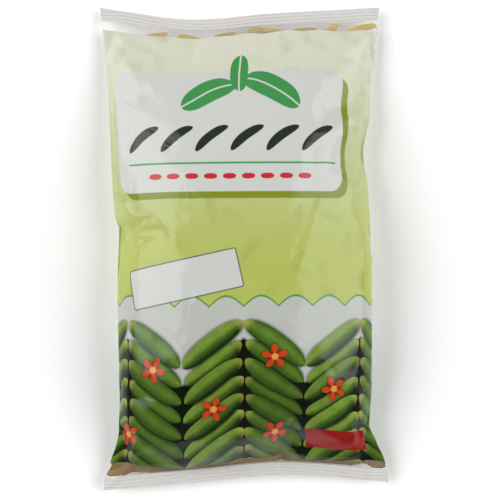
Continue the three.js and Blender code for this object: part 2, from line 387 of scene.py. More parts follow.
def add_panel(face, heights, columns, inset=0.0, level=None):
    """A grid laid on one face of the bag between the given heights, with each vertex's height on the web,
    x, and distance from the middle line. A level cuts the front off flat."""
    bpy.ops.object.select_all(action="DESELECT")
    bpy.ops.mesh.primitive_grid_add(x_subdivisions=columns, y_subdivisions=len(heights) - 1, size=2)
    panel = bpy.context.object
    flat = vertex_places(panel)
    column = np.rint((flat[:, 0] + 1) / 2 * columns).astype(int)
    row = np.rint((flat[:, 1] + 1) / 2 * (len(heights) - 1)).astype(int)
    insets = np.broadcast_to(inset, len(heights))
    cuts = [section(h, face, columns, inward) for h, inward in zip(heights, insets)]
    x, z, across = (np.array(part) for part in zip(*cuts))
    for end in (0, -1):
        z[end] = side_height(heights[end])
    if level is not None:
        z = np.minimum(z, level)
    h = np.asarray(heights)[row]
    x, z, across = x[row, column], z[row, column], across[row, column]
    set_places(panel, np.stack((x, plan_y(h, x), z), 1) * MM)
    if face == "back":
        in_edit_mode(panel, (bpy.ops.mesh.flip_normals, {}))
    return panel, h, x, across


def close_panels(panels, name):
    """Joins the front and the back and merges them along their shared edges."""
    body = join(panels, name)
    in_edit_mode(body, (bpy.ops.mesh.remove_doubles, {"threshold": 0.001 * MM}))
    return body


def finish_piece(piece, materials, slot, *nodes, sharp=math.pi):
    """Smooths a piece up to an angle, gives it its materials, hangs it under the body's empty and hides the
    model's parts that it stands for.
    """
    only(piece)
    bpy.ops.object.shade_smooth_by_angle(angle=sharp)
    piece.data.materials.clear()
    for material in materials:
        piece.data.materials.append(material)
    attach(piece, BODY)
    if nodes:
        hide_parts(*nodes)


# Film.

HELD_NEAR = 0.4  # the back is held where it is this close to the floor
SPARE_FADE = 24.0  # distance from a seal over which the spare film runs out
SIDE_SPARE = 0.6
CLOTH = {
    "quality": 6, "tension_stiffness": 60, "compression_stiffness": 60, "shear_stiffness": 30,
    "bending_stiffness": 0.08, "tension_damping": 10, "compression_damping": 10, "shear_damping": 10,
    "bending_damping": 1, "air_damping": 3, "use_pressure": True, "vertex_group_mass": "held",
    "vertex_group_shrink": "spare",
}
FOLD_TAPER = 0.12
# Slow waves along a seal: length, start and share of the wave's height.
SEAL_WAVES = ((9.0, 0.6, 1.0), (4.1, 0.0, 0.6))
SEAL_WAVE_FADE = 7.0
LUMPS_FADE = 30.0
LUMPS_FACING = 1.5
LOWEST_FILM = 0.9 * BACK_LIFT
LAP_ROWS = 110
LAP_COLUMNS = 12
LAP_DROP = 0.55 * BACK_LIFT
LAP_ON_WEB = -130.0  # place on the web of the lap's middle line
LAP_THICKNESS = 0.12


def web_heights(settings):
    rows = np.linspace(SEAL, SEAL_TOP, settings.rows + 1)
    seal = np.linspace(0, SEAL, settings.seal_rows + 1)
    return np.concatenate((seal[:-1], rows, SEAL_TOP + seal[1:]))


def corners(piece):
    """The vertex that each corner of the piece's faces stands on."""
    corner = np.empty(len(piece.data.loops), int)
    piece.data.loops.foreach_get("vertex_index", corner)
    return corner


def map_web(piece, on_web, up):
    """Sets the map from the place across the flat web and the height on the print of each corner."""
    piece.data.uv_layers[0].name = WEB_MAP
    places = np.stack((0.5 + on_web / WEB_WIDTH, up / BAG_LENGTH), 1)
    piece.data.uv_layers[0].data.foreach_set("uv", places.astype(np.float32).ravel())


def unroll(panel, face, h, x, across, edges):
    """Maps a panel to its place on the flat web: the front in the middle, the back's halves beside it."""
    corner = corners(panel)
    if face == "front":
        on_web = across[corner]
    else:
        faces = panel.data.polygons
        sides = np.array([p.center.x > LAP_EDGE * MM for p in faces])
        right = np.repeat(sides, [p.loop_total for p in faces])
        wraps = {side: edges["front", side](h) + edges["back", side](h) - across for side in (-1, 1)}
        on_web = np.where(right, wraps[1][corner], wraps[-1][corner])
    map_web(panel, on_web, print_height(h, x)[corner])


def lower_front(panel, h):
    places = vertex_places(panel)
    side = side_height(h) * MM
    places[:, 2] = side + (places[:, 2] - side) * SWELL
    set_places(panel, places)


def section_edges(heights, columns):
    """Distance from the middle line to each side, on the front and on the back, along the bag."""
    edges = {}
    for face in ("front", "back"):
        ends = np.array([section(h, face, columns)[2][[0, -1]] for h in heights])
        for side, column in ((-1, 0), (1, 1)):
            edges[face, side] = lambda h, value=ends[:, column]: np.interp(h, heights, value)
    return edges


def group_weights(panel, name, weights):
    group = panel.vertex_groups.new(name=name)
    for index in np.nonzero(weights > 0)[0]:
        group.add([int(index)], float(weights[index]), "REPLACE")


def mark_cloth(panel, face, h, x):
    """Holds the seals and the flat of the back, and gives the ends and sides more spare film."""
    low = vertex_places(panel)[:, 2] < (BACK_LIFT + HELD_NEAR) * MM
    held = (h <= SEAL) | (h >= SEAL_TOP) | (low & (face == "back"))
    to_end = np.minimum(h - SEAL, SEAL_TOP - h)
    to_side = np.clip(np.abs(x) / reach_of(h, x), 0, 1)
    spare = np.clip(np.exp(-to_end / SPARE_FADE) + SIDE_SPARE * to_side**4, 0, 1)
    group_weights(panel, "held", held.astype(float))
    group_weights(panel, "spare", spare)


def wrinkle(film, settings):
    """Settles the film by a cloth run with more film than the smooth shape needs, then applies it."""
    smooth = vertex_places(film)
    only(film)
    modifier = film.modifiers.new("Settle", "CLOTH")
    cloth = modifier.settings
    for name, value in CLOTH.items():
        setattr(cloth, name, value)
    cloth.uniform_pressure_force = settings.pressure
    cloth.shrink_min = -settings.slack
    cloth.shrink_max = -settings.end_slack
    cloth.effector_weights.gravity = 0
    modifier.collision_settings.use_collision = False
    modifier.point_cache.frame_start = 1
    modifier.point_cache.frame_end = settings.frames
    for number in range(1, settings.frames + 1):
        bpy.context.scene.frame_set(number)
    bpy.ops.object.modifier_apply(modifier="Settle")
    move = vertex_places(film) - smooth
    length = np.linalg.norm(move, axis=1, keepdims=True)
    set_places(film, smooth + move * np.minimum(1, settings.most_move / np.maximum(length, 1e-9)))
    bpy.context.scene.frame_set(1)


def fit_sides(film):
    """Stretches the film sideways so that its outline keeps to the drawn sides."""
    places = vertex_places(film)
    x, y = places[:, 0] / MM, places[:, 1] / MM
    h = web_height(y, x)
    steps = np.arange(0, BAG_LENGTH, OUTLINE_STEP)
    slot = np.clip(h / OUTLINE_STEP, 0, len(steps) - 1).astype(int)
    for side, drawn in ((-1, left_side), (1, right_side)):
        reached = np.zeros(len(steps))
        np.maximum.at(reached, slot, side * x)
        most = np.interp(h, steps + OUTLINE_STEP / 2, reached)
        share = np.clip(side * x / most, 0, 1)
        x = x * (1 + (drawn(h) / most - 1) * share**2)
    places[:, 0] = x * MM
    set_places(film, places)


def press_folds(film):
    """Presses the folds into the front, each deepest in its middle."""
    places = vertex_places(film)
    normals = np.array([v.normal for v in film.data.vertices])
    facing = np.clip(normals[:, 2] * 2, 0, 1)
    for start, end, depth, width in FOLDS:
        start, end = np.array(start) * MM, np.array(end) * MM
        line = end - start
        share = np.clip((places[:, :2] - start) @ line / (line @ line), 0, 1)
        away = np.linalg.norm(places[:, :2] - start - share[:, None] * line, axis=1) / (width * MM)
        taper = np.sin(np.pi * (FOLD_TAPER + (1 - 2 * FOLD_TAPER) * share))
        places[:, 2] -= depth * MM * facing * taper * np.exp(-(away**2))
    set_places(film, places)


def crimp_seals(film, settings):
    """Presses the ridges across both seals and lets the seals wave a little."""
    places = vertex_places(film)
    x, y = places[:, 0] / MM, places[:, 1] / MM
    bottom, top, _ = bows_at(np.full_like(x, BAG_LENGTH / 2), x)
    into = np.minimum(y + BAG_LENGTH / 2 - bottom, BAG_LENGTH / 2 - top - y)
    ridge = np.sin(2 * np.pi * settings.crimps * into / SEAL) * (into < SEAL) * (into > 0)
    wave = sum(share * np.sin(x / length + start) for length, start, share in SEAL_WAVES)
    wave *= np.exp(-np.maximum(into, 0) / SEAL_WAVE_FADE) / sum(share for _, _, share in SEAL_WAVES)
    places[:, 2] += settings.crimp_relief * ridge + settings.seal_wave * wave
    set_places(film, places)


def lump(film, settings):
    """Raises the film over the filling's lumps."""
    texture = bpy.data.textures.new("filling_lumps", "CLOUDS")
    texture.noise_scale = settings.lump_size
    texture.noise_depth = 1
    group = film.vertex_groups.new(name="lumps")
    for vertex in film.data.vertices:
        from_end = (BAG_LENGTH * MM / 2 - abs(vertex.co.y)) / (LUMPS_FADE * MM)
        weight = max(0.0, min(1.0, from_end, vertex.normal.z * LUMPS_FACING))
        group.add([vertex.index], weight, "REPLACE")
    apply_modifier(
        film, "Lumps", "DISPLACE", texture=texture, strength=settings.lumps, mid_level=0.5,
        texture_coords="LOCAL", vertex_group="lumps",
    )


def make_film(scene):
    settings = scene.bag_film
    heights = web_heights(settings)
    edges = section_edges(heights, settings.columns)
    panels = []
    for face in ("front", "back"):
        panel, h, x, across = add_panel(face, heights, settings.columns)
        if face == "front":
            lower_front(panel, h)
        unroll(panel, face, h, x, across, edges)
        mark_cloth(panel, face, h, x)
        panels.append(panel)
    film = close_panels(panels, "film_web")
    wrinkle(film, settings)
    apply_modifier(film, "Smooth", "SUBSURF", levels=1, render_levels=1)
    fit_sides(film)
    press_folds(film)
    crimp_seals(film, settings)
    lump(film, settings)
    places = vertex_places(film)
    places[:, 2] = np.maximum(places[:, 2], LOWEST_FILM * MM)
    set_places(film, places)
    film.vertex_groups.clear()
    finish_piece(film, [film_material(scene.bag_print)], "printed_film", "film_bag")


def make_lap():
    """The web's outer edge, lapped over the inner one down the back."""
    bpy.ops.object.select_all(action="DESELECT")
    bpy.ops.mesh.primitive_grid_add(x_subdivisions=LAP_COLUMNS, y_subdivisions=LAP_ROWS - 1, size=2)
    lap = bpy.context.object
    lap.name = lap.data.name = "lap_edge"
    flat = vertex_places(lap)
    h = BAG_LENGTH / 2 + flat[:, 1] * (BAG_LENGTH - SEAL) / 2
    x = flat[:, 0] * LAP_EDGE
    z = surface_height(h, x, "back") - LAP_DROP
    set_places(lap, np.stack((x, plan_y(h, x), z), 1) * MM)
    corner = corners(lap)
    map_web(lap, x[corner] + LAP_ON_WEB, print_height(h, x)[corner])
    apply_modifier(lap, "Thickness", "SOLIDIFY", thickness=LAP_THICKNESS * MM, offset=0)
    finish_piece(lap, [bpy.data.materials["film_print"]], "printed_film")


# Shader wiring.


class Signal:
    """A value on its way through a node tree. Arithmetic on it adds Math nodes."""

    def __init__(self, tree, socket):
        self.tree = tree
        self.socket = socket

    def math(self, operation, *others):
        values = dict(enumerate((self, *others)))
        return add(self.tree, "ShaderNodeMath", values, operation=operation)

    def __add__(self, other):
        return self.math("ADD", other)

    def __sub__(self, other):
        return self.math("SUBTRACT", other)

    def __mul__(self, other):
        return self.math("MULTIPLY", other)

    def __truediv__(self, other):
        return self.math("DIVIDE", other)

    def __pow__(self, other):
        return self.math("POWER", other)

    def __abs__(self):
        return self.math("ABSOLUTE")

    def flipped(self):
        """One minus the value."""
        return add(self.tree, "ShaderNodeMath", {0: 1.0, 1: self}, operation="SUBTRACT")

    def least(self, other):
        return self.math("MAXIMUM", other)

    def most(self, other):
        return self.math("MINIMUM", other)

    def floor(self):
        return self.math("FLOOR")

    def sine(self):
        return self.math("SINE")

    def root(self):
        return self.math("SQRT")

    def bell(self):
        """1 where the value is 0, and falling to 0 on both sides."""
        return (self * self * -1.0).math("EXPONENT")

    def under(self, other):
        """1 where the value is less than the other, and 0 elsewhere."""
        return self.math("LESS_THAN", other)

    def over(self, other):
        return self.math("GREATER_THAN", other)

    def rise(self, low, high):
        """A soft step from 0 at low to 1 at high."""
        ends = {0: self, 1: low, 2: high}
        return add(self.tree, "ShaderNodeMapRange", ends, interpolation_type="SMOOTHSTEP")

    def parts(self):
        """The three parts of a vector or a colour."""
        node = new_node(self.tree, "ShaderNodeSeparateXYZ", {0: self})
        return [Signal(self.tree, socket) for socket in node.outputs]


def wire(node, values):
    """Links or sets a node's inputs, given by name or number."""
    for name, value in values.items():
        if isinstance(value, Signal):
            value.tree.links.new(value.socket, node.inputs[name])
        else:
            node.inputs[name].default_value = value


def new_node(tree, kind, values=None, **settings):
    node = tree.nodes.new(kind)
    for name, setting in settings.items():
        setattr(node, name, setting)
    wire(node, values or {})
    return node


def add(tree, kind, values=None, output=0, **settings):
    return Signal(tree, new_node(tree, kind, values, **settings).outputs[output])


def mix(share, below, above):
    """One colour laid over another by a share from 0 to 1."""
    values = {0: share, 6: below, 7: above}
    return add(share.tree, "ShaderNodeMix", values, output=2, data_type="RGBA")


def scaled(colour, tone):
    """A colour made darker or lighter."""
    values = {"Vector": colour, "Scale": tone}
    return add(colour.tree, "ShaderNodeVectorMath", values, operation="SCALE")


def vector(tree, x, y, z=0.0):
    return add(tree, "ShaderNodeCombineXYZ", {0: x, 1: y, 2: z})


def turned(place, angle):
    values = {"Vector": place, "Angle": angle}
    return add(place.tree, "ShaderNodeVectorRotate", values, rotation_type="Z_AXIS")


def noise(place, scale, detail=2.0, roughness=0.5):
    values = {"Vector": place, "Scale": scale, "Detail": detail, "Roughness": roughness}
    return add(place.tree, "ShaderNodeTexNoise", values)


SOCKETS = {"value": "NodeSocketFloat", "colour": "NodeSocketColor", "vector": "NodeSocketVector"}


def node_group(name, inputs, outputs, build):
    """A group with named sockets: build takes the inputs as signals by name and returns the outputs."""
    tree = bpy.data.node_groups.new(name, "ShaderNodeTree")
    for title, (kind, default) in inputs.items():
        socket = tree.interface.new_socket(name=title, in_out="INPUT", socket_type=SOCKETS[kind])
        socket.default_value = default
    for title, kind in outputs.items():
        tree.interface.new_socket(name=title, in_out="OUTPUT", socket_type=SOCKETS[kind])
    source = tree.nodes.new("NodeGroupInput")
    sink = tree.nodes.new("NodeGroupOutput")
    made = build(tree, {title: Signal(tree, source.outputs[title]) for title in inputs})
    for title, signal in made.items():
        tree.links.new(signal.socket, sink.inputs[title])
    return tree


def use_group(tree, group, values):
    node = new_node(tree, "ShaderNodeGroup", values, node_tree=group)
    return {socket.name: Signal(tree, socket) for socket in node.outputs}


def new_material(name):
    material = bpy.data.materials.new(name)
    material.use_nodes = True
    tree = material.node_tree
    shader = tree.nodes["Principled BSDF"]
    return material, tree, shader


def bump(height, strength, distance):
    values = {"Height": height, "Strength": strength, "Distance": distance}
    return add(height.tree, "ShaderNodeBump", values)


# Print.

PRINT_FROM = 8.6
PRINT_TO = 210.5
# Where the print's lower edge stands higher: place across, width and lift.
PRINT_LIFTS = ((-60, 16, 4.4), (-6, 12, 1.2), (19, 5, 3.2), (60, 8, 1.6))
EDGE = 0.18  # half the softness of a printed edge
SEAL_EDGE = 0.3
SEAL_ALPHA = 0.7
CLEAR_ALPHA = 0.12
# Painted shade of the slices behind the ink: the field is darkened in their shapes, in staggered rows.
SHOW_THROUGH_SHADE = {
    "length": 11.0, "width": 4.6, "along": 16.0, "across": 9.5, "bend": 1.6, "stray": 0.3, "tilt": 0.22,
    "shown": 0.4,
}
ROW_SHIFT = 0.37  # each row starts this share of a pitch further along
SEED_SHIFT = 0.31
PRINT_LIGHT = (-0.46, 0.52, 0.72)
# Pods in leaning rows, mirrored from column to column as in a braid.
BRAID = {"column": 27.0, "lean": 0.66, "pitch": 17.0, "half_width": 4.3, "bend": 2.6, "top": 70.0}
BRAID_SHIFTS = (0.0, BRAID["pitch"] / 2)
# The pale band over the pods ends in scallops.
BAND = {"top": 85.0, "scallop": 15.0, "height": 4.6, "line": 0.45}
# Blossoms on the braid: place across, height on the print and turn.
BLOSSOMS = (
    (-40.5, 57.0, 0.2), (13.5, 62.0, 0.9), (40.5, 47.0, 0.5), (-13.5, 38.0, 0.0), (-54.0, 27.0, 0.7),
    (13.5, 24.0, 0.35),
)
BLOSSOM = {"petals": 5, "radius": 4.6, "notch": 1.3}


def printed(inside):
    """A share of ink that goes from 0 to 1 over a printed edge."""
    return inside.rise(-EDGE, EDGE)


def pod_shape(x, y, half_length, half_width, bend):
    """A pod that lies along x: how far a point is inside it, and its places along and across it."""
    along = x / half_length
    level = y - (along * along).flipped() * bend
    width = (abs(along) ** 3.0).flipped().least(0.0) ** 0.55 * half_width
    inside = width - abs(level) - (abs(x) - half_length).least(0.0)
    return inside, along, level / width.least(0.05)


def draws(tree, column, row, seed):
    """Four random values for a cell of the print."""
    cell = vector(tree, column, row, seed)
    drawn = new_node(tree, "ShaderNodeTexWhiteNoise", {"Vector": cell}, noise_dimensions="3D")
    return *Signal(tree, drawn.outputs["Color"]).parts(), Signal(tree, drawn.outputs["Value"])


def braid_group():
    """One layer of the braid printed over what is under it, with its own shade on it."""
    wide, pitch = BRAID["column"], BRAID["pitch"]
    lean_x, lean_y = math.cos(BRAID["lean"]), math.sin(BRAID["lean"])
    light_x, light_y, light_up = PRINT_LIGHT

    def build(tree, at):
        place_x, place_y, _ = at["Place"].parts()
        column = (place_x / wide).floor()
        side = (column / 2.0 - (column / 2.0).floor()) * 4.0 - 1.0
        from_middle = place_x - (column + 0.5) * wide
        leaning = place_y - from_middle * side * (lean_y / lean_x)
        lane = (leaning - at["Shift"]) / pitch
        row = lane.floor()
        first, second, third, _ = draws(tree, column, row, at["Shift"])
        off_axis = (lane - row - 0.5) * pitch
        inside, along, across = pod_shape(
            from_middle / lean_x + off_axis * side * lean_y,
            off_axis * lean_x,
            (first * 0.1 + 0.9) * (wide / 2 / lean_x),
            BRAID["half_width"],
            (second - 0.5) * BRAID["bend"],
        )
        shown = ((row + 0.5) * pitch + at["Shift"]).under(BRAID["top"])
        ground = leaning.rise(BRAID["top"] - pitch / 2 - 2.0, BRAID["top"] - pitch / 2).flipped()
        round_up = (across * across).flipped().least(0.0).root()
        lit = across * (side * (-lean_y * light_x) + lean_x * light_y) + round_up * light_up
        swell = (along * 10.0 + third * 6.0).sine() * 0.05 + 0.95
        grain = noise(vector(tree, along * 3.0, across * 1.2, first * 40.0), 2.6, 3.0) * 0.5 + 0.75
        colour = mix(lit.rise(0.0, 0.62), at["Dark"], at["Mid"])
        colour = mix(lit.rise(0.55, 0.95) * 0.85, colour, at["Light"])
        colour = mix((along * side).rise(0.72, 1.0) * 0.8, colour, at["Tip"])
        colour = scaled(colour, (third * 0.45 + 0.8) * swell * grain)
        under = mix(ground * at["Ground"], at["Under"], at["Gap"])
        under = mix(inside.rise(-1.6, 0.4) * shown * 0.7, under, at["Gap"])
        return {"Colour": mix(inside.rise(-0.2, 0.25) * shown, under, colour)}

    inputs = {"Place": ("vector", (0, 0, 0)), "Shift": ("value", 0.0), "Ground": ("value", 0.0)}
    for name in ("Under", "Gap", "Dark", "Mid", "Light", "Tip"):
        inputs[name] = ("colour", (0, 0, 0, 1))
    return node_group("Braided Pods", inputs, {"Colour": "colour"}, build)


def print_blossom(across, along, colour, colours, spot):
    """A blossom of five round petals with a pale eye."""
    x, y, turn = spot
    right, up = across - x, along - y
    radius = (right * right + up * up).root()
    petals = ((up.math("ARCTAN2", right) + turn) * float(BLOSSOM["petals"])).math("COSINE")
    inside = petals * BLOSSOM["notch"] + BLOSSOM["radius"] - radius
    petal = mix(petals.rise(-1.0, 0.3), colours.blossom_dark, colours.blossom)
    petal = mix(radius.rise(1.2, 1.8).flipped(), petal, colours.blossom_light)
    colour = mix(inside.rise(-1.4, 0.4) * 0.6, colour, colours.gap)
    return mix(printed(inside), colour, petal)


def painted_show_through_shade_group():
    """Painted shade of slices that press against the film: the share by which its ink is darkened where
    they would show faintly through, in staggered rows.
    """
    pitch_along, pitch_across = SHOW_THROUGH_SHADE["along"], SHOW_THROUGH_SHADE["across"]

    def build(tree, at):
        place_x, place_y, _ = turned(at["Place"], at["Turn"]).parts()
        lane = place_y / pitch_across
        row = lane.floor()
        slid = place_x / pitch_along + row * ROW_SHIFT + at["Seed"] * SEED_SHIFT
        column = slid.floor()
        first, second, third, fourth = draws(tree, column, row, at["Seed"])
        x = (slid - column - 0.5 - (first - 0.5) * SHOW_THROUGH_SHADE["stray"]) * pitch_along
        y = (lane - row - 0.5 - (second - 0.5) * SHOW_THROUGH_SHADE["stray"]) * pitch_across
        tilt = (third - 0.5) * SHOW_THROUGH_SHADE["tilt"]
        half_length = (fourth * 0.2 + 0.4) * SHOW_THROUGH_SHADE["length"]
        bend = (first - 0.5) * SHOW_THROUGH_SHADE["bend"]
        inside, _, _ = pod_shape(x + y * tilt, y - x * tilt, half_length, SHOW_THROUGH_SHADE["width"] / 2, bend)
        blur = noise(at["Place"], 0.09, 3.0) * 1.4 - 0.2
        shown = second.under(SHOW_THROUGH_SHADE["shown"]) * third
        return {"Share": inside.rise(-0.9, 1.3) * shown * blur.least(0.0)}

    inputs = {"Place": ("vector", (0, 0, 0)), "Turn": ("value", 0.0), "Seed": ("value", 0.0)}
    return node_group("Painted Show Through Shade", inputs, {"Share": "value"}, build)


def rounded_box_group():
    """Distance outside a rounded rectangle on the print, negative inside it."""

    def build(tree, at):
        x, y, _ = at["Place"].parts()
        local = turned(vector(tree, x - at["X"], y - at["Y"]), at["Turn"] * -1.0)
        local_x, local_y, _ = local.parts()
        past_x = abs(local_x) - at["Half Width"] + at["Corner"]
        past_y = abs(local_y) - at["Half Height"] + at["Corner"]
        corner = (past_x.least(0.0) ** 2.0 + past_y.least(0.0) ** 2.0).root()
        return {"Distance": corner + past_x.least(past_y).most(0.0) - at["Corner"]}

    inputs = {"Place": ("vector", (0, 0, 0))}
    for name in ("X", "Y", "Half Width", "Half Height", "Corner", "Turn"):
        inputs[name] = ("value", 0.0)
    return node_group("Rounded Box", inputs, {"Distance": "value"}, build)


SHOW_THROUGH_SHADE_LAYERS = (
    {"Turn": 0.5, "Seed": 11.0}, {"Turn": -0.85, "Seed": 12.0}, {"Turn": 1.5, "Seed": 13.0},
)
# Strength and tone of the painted shade of the slices behind the ink.
SHOW_THROUGH_SHADE_STRENGTH = 0.55
SHOW_THROUGH_SHADE_TONE = 0.7

PANEL = {"X": -7.0, "Y": 163.0, "Half Width": 52.0, "Half Height": 27.6, "Corner": 6.5, "Turn": 0.0}
PANEL_SHIFT = (3.0, -3.0)
RULE = {"X": -5.5, "Y": 148.0, "Half Width": 47.0, "Half Height": 0.42, "Corner": 0.4, "Turn": 0.0}
TAG = {"X": -26.5, "Y": 97.0, "Half Width": 25.5, "Half Height": 8.8, "Corner": 1.2, "Turn": 0.215}
TAG_LINE = (-0.45, 0.1)  # where its line starts and ends, outside the tag
FLAG = {"X": 42.5, "Y": 20.8, "Half Width": 14.4, "Half Height": 5.2, "Corner": 0.3, "Turn": 0.02}
BACK_PANELS = (
    {"X": 95.0, "Y": 142.0, "Half Width": 19.0, "Half Height": 40.0, "Corner": 4.0, "Turn": 0.0},
    {"X": -100.0, "Y": 160.0, "Half Width": 21.0, "Half Height": 22.0, "Corner": 4.0, "Turn": 0.0},
    {"X": -100.0, "Y": 117.0, "Half Width": 21.0, "Half Height": 15.0, "Corner": 4.0, "Turn": 0.0},
)
TABLE = {"x": 95.0, "half_width": 16.5, "y": 142.0, "pitch": 6.5, "count": 11, "line": 0.16}
POD_ROW = {
    "x": -6.0, "y": 159.0, "pitch": 15.5, "count": 6, "turn": 0.66, "half_length": 9.0, "half_width": 2.0,
    "bend": 1.4,
}
LOZENGES = {
    "x": -6.0, "y": 142.2, "pitch": 8.2, "count": 9, "turn": 0.0, "half_length": 2.9, "half_width": 1.25,
    "bend": 0.0,
}
LEAVES = (
    {"x": -15.5, "y": 179.0, "turn": 0.42, "half_length": 13.0, "half_width": 5.0, "bend": 1.8},
    {"x": 12.5, "y": 180.5, "turn": 2.62, "half_length": 14.0, "half_width": 5.4, "bend": -1.8},
    {"x": -1.5, "y": 190.0, "turn": 1.52, "half_length": 9.0, "half_width": 4.0, "bend": 0.4},
)
VEIN = (0.25, 0.5)
FIELD_FULL_TO_MIDDLE = (100.0, 172.0)
FIELD_MIDDLE_TO_TOP = (150.0, 206.0)
CRINKLES = 90.0
FINE_CRINKLES = 420.0
CREASES = 36.0
FILM_BUMP = (0.22, 1.2 * MM)


def repeated(place, x, pitch, count):
    """The place across the print, counted from the nearest of a row of repeats."""
    slid = (place - x) / pitch + count / 2
    return (slid - slid.floor() - 0.5) * pitch, slid.over(0.0) * slid.under(float(count))


def print_field(along, colours):
    """The ground colour: pale under the top seal and full at the middle."""
    colour = mix(along.rise(*FIELD_FULL_TO_MIDDLE), colours.field, colours.field_middle)
    return mix(along.rise(*FIELD_MIDDLE_TO_TOP), colour, colours.field_top)


def ornament(across, along, shape):
    """A pod shape of the ornament: how far a point is inside it, and its distance from the middle line."""
    tree = across.tree
    x, y, _ = turned(vector(tree, across, along - shape["y"]), -shape["turn"]).parts()
    inside, share, _ = pod_shape(x, y, shape["half_length"], shape["half_width"], shape["bend"])
    return inside, abs(y - (share * share).flipped() * shape["bend"])


def print_panel(tree, place, across, along, colour, box, colours):
    """The label panel with its shade, a rule, a sprig and two rows of ornament."""

    def boxed(settings):
        return printed(use_group(tree, box, {"Place": place, **settings})["Distance"] * -1.0)

    shade = {**PANEL, "X": PANEL["X"] + PANEL_SHIFT[0], "Y": PANEL["Y"] + PANEL_SHIFT[1]}
    for settings, ink in ((shade, colours.panel_shade), (PANEL, colours.panel), (RULE, colours.rule)):
        colour = mix(boxed(settings), colour, ink)
    for row, ink in ((POD_ROW, colours.ornament), (LOZENGES, colours.ornament_red)):
        row_x, in_row = repeated(across, row["x"], row["pitch"], row["count"])
        inside, _ = ornament(row_x, along, row)
        colour = mix(printed(inside) * in_row, colour, ink)
    for leaf in LEAVES:
        inside, from_vein = ornament(across - leaf["x"], along, leaf)
        colour = mix(printed(inside) * from_vein.rise(*VEIN), colour, colours.leaf)
    return colour


def print_picture(tree, place, across, along, colour, box, colours):
    """A pale scalloped band over braided pods with blossoms, then the tag and the flag."""
    scallop = abs((across * (math.pi / BAND["scallop"])).sine()) * BAND["height"]
    above = along - scallop - BAND["top"]
    colour = mix(printed(above).flipped(), colour, colours.band)
    colour = mix(printed(abs(above) - BAND["line"]).flipped(), colour, colours.band_line)
    braid = braid_group()
    greens = {
        "Gap": colours.gap, "Dark": colours.pod_dark, "Mid": colours.pod, "Light": colours.pod_light,
        "Tip": colours.pod_tip,
    }
    for number, shift in enumerate(BRAID_SHIFTS):
        layer = {"Shift": shift, "Ground": float(number == 0)}
        colour = use_group(tree, braid, {"Place": place, "Under": colour, **greens, **layer})["Colour"]
    for spot in BLOSSOMS:
        colour = print_blossom(across, along, colour, colours, spot)
    tag = use_group(tree, box, {"Place": place, **TAG})["Distance"]
    colour = mix(printed(tag - TAG_LINE[1]).flipped(), colour, colours.tag_line)
    colour = mix(printed(tag - TAG_LINE[0]).flipped(), colour, colours.tag)
    flag = use_group(tree, box, {"Place": place, **FLAG})["Distance"]
    return mix(printed(flag).flipped(), colour, colours.flag)


def film_material(colours):
    """Printed film: glossy, clear beside the seals and crimped across them."""
    material, tree, shader = new_material("film_print")
    web_x, web_y, _ = add(tree, "ShaderNodeUVMap", uv_map=WEB_MAP).parts()
    across = (web_x - 0.5) * WEB_WIDTH
    along = web_y * BAG_LENGTH
    place = vector(tree, across, along)
    box = rounded_box_group()
    colour = print_field(along, colours)
    show_through_shade = painted_show_through_shade_group()
    # Painted shade: the field is darkened where slices would show through the ink.
    for layer in SHOW_THROUGH_SHADE_LAYERS:
        share = use_group(tree, show_through_shade, {"Place": place, **layer})["Share"]
        colour = mix(share * SHOW_THROUGH_SHADE_STRENGTH, colour, scaled(colour, SHOW_THROUGH_SHADE_TONE))
    for panel in BACK_PANELS:
        outside = use_group(tree, box, {"Place": place, **panel})["Distance"]
        colour = mix(printed(outside).flipped(), colour, colours.panel)
    line, in_table = repeated(along, TABLE["y"], TABLE["pitch"], TABLE["count"])
    ruled = abs(line).under(TABLE["line"]) * abs(across - TABLE["x"]).under(TABLE["half_width"])
    colour = mix(ruled * in_table, colour, colours.table)
    colour = print_picture(tree, place, across, along, colour, box, colours)
    colour = print_panel(tree, place, across, along, colour, box, colours)
    over = along - PRINT_FROM
    for middle, width, lift in PRINT_LIFTS:
        over = over - ((across - middle) / width).bell() * lift
    inked = printed(over) * printed(along - PRINT_TO).flipped()
    colour = mix(inked, colours.clear, colour)
    sealed = along.rise(SEAL - SEAL_EDGE, SEAL + SEAL_EDGE).flipped()
    sealed = sealed + along.rise(SEAL_TOP - SEAL_EDGE, SEAL_TOP + SEAL_EDGE)
    alpha = (inked + sealed * SEAL_ALPHA + CLEAR_ALPHA).most(1.0)
    spot = add(tree, "ShaderNodeTexCoord", output="Object")
    crinkle = noise(spot, CRINKLES, 4.0, 0.55)
    fine = noise(spot, FINE_CRINKLES)
    crease = abs(noise(spot, CREASES) - 0.5).rise(0.0, 0.025).flipped()
    height = crinkle + fine * 0.1 + crease * 0.16
    wire(shader, {
        "Base Color": colour,
        "Roughness": crinkle * 0.12 + sealed * 0.12 + 0.1,
        "Alpha": alpha,
        "IOR": 1.48,
        "Specular IOR Level": 0.32,
        "Normal": bump(height, *FILM_BUMP),
    })
    return material


# Filling.

SLICE_KINDS = ((1.0, 0.55, 0.06), (0.8, -0.7, -0.05), (1.15, 0.8, 0.1))  # length share, slant and bend
# Slices at the clear strip under the top seal: x, height on the web and turn.
TOP_SLICES = (
    (-40, 212.2, 0.15), (-24, 212.1, -0.3), (-9, 212.8, 0.2), (3, 213.2, 0.9), (14, 212.6, -0.15),
    (28, 212.3, 0.06), (41, 213.2, 0.7), (54, 212.3, 0.2),
)
TOP_SLICE_SIZE = 0.32
SLICES_FROM = 36
SLICES_TO = SEAL_TOP - 30
SLICE_INSET = {"front": 6.0, "back": 3.5}
SLICE_SIDE_GAP = 16
SLICE_MARGIN = 1.1
# The brine fills the bottom edge closely and keeps further from the wrinkled film above it.
BRINE_INSET_AT = (SEAL, 10, 14, 20)
BRINE_INSET = (0.2, 0.4, 1.5, 9.0)
BRINE_MARGIN = 0.9
LEAST_ROOM = 0.3 * MM
PRESS_STEPS = 60
PRESS_IN = 0.99
KEEP_SHARE = 0.3  # most of the room in the film that a margin may take up, on each side
SLICE_SEED = 7
